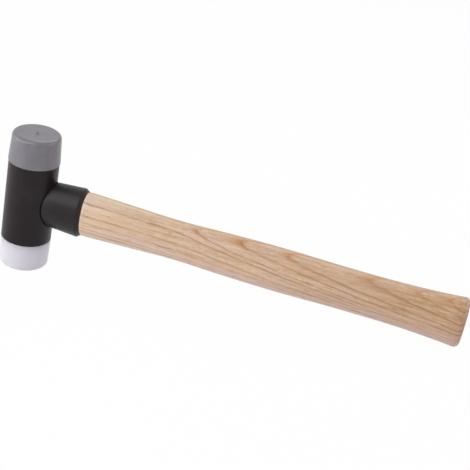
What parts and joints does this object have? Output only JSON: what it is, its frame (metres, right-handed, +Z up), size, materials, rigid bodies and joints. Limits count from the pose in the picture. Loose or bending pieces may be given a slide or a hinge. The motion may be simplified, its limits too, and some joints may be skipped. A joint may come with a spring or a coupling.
{
  "type": "soft-face mallet",
  "caption": "Recoilless soft-face mallet: steel tube head filled with shot, a soft grey and a hard white plug-in face, and an oval ash handle in a coped socket.",
  "frame": {"origin": "the middle of the hard face", "axes": "+Z up the head from the hard face to the soft face, +X along the handle away from the head, XZ the plane that both halves mirror in"},
  "size_m": [0.3277, 0.0358, 0.1012],
  "materials": {
    "black_steel": "satin black coating",
    "plain_steel": "bare pressed steel, lightly oiled",
    "shot_steel": "small bright steel balls",
    "soft_grey": "moulded, satin",
    "hard_white": "moulded, satin, slightly milky",
    "ash": "fine sanded ash, clear satin lacquer",
    "resin": "dark brown cured resin"
  },
  "bodies": {
    "head": {"head_tube": "black_steel", "handle_socket": "black_steel", "socket_braze": "black_steel", "hard_end_disc": "plain_steel", "soft_end_disc": "plain_steel", "handle": "ash", "handle_resin": "resin"},
    "soft_face": {"soft_insert": "soft_grey"},
    "hard_face": {"hard_insert": "hard_white"},
    "shot": {"shot_charge": "shot_steel"}
  },
  "joints": [
    {"name": "soft_insert_pull", "type": "slide", "parent": "head", "child": "soft_face", "axis": [0, 0, 1], "range_m": [0, 0.0145]},
    {"name": "hard_insert_pull", "type": "slide", "parent": "head", "child": "hard_face", "axis": [0, 0, -1], "range_m": [0, 0.0145]},
    {"name": "shot_slide", "type": "slide", "parent": "head", "child": "shot", "axis": [0, 0, 1], "range_m": [0, 0.0082]}
  ]
}
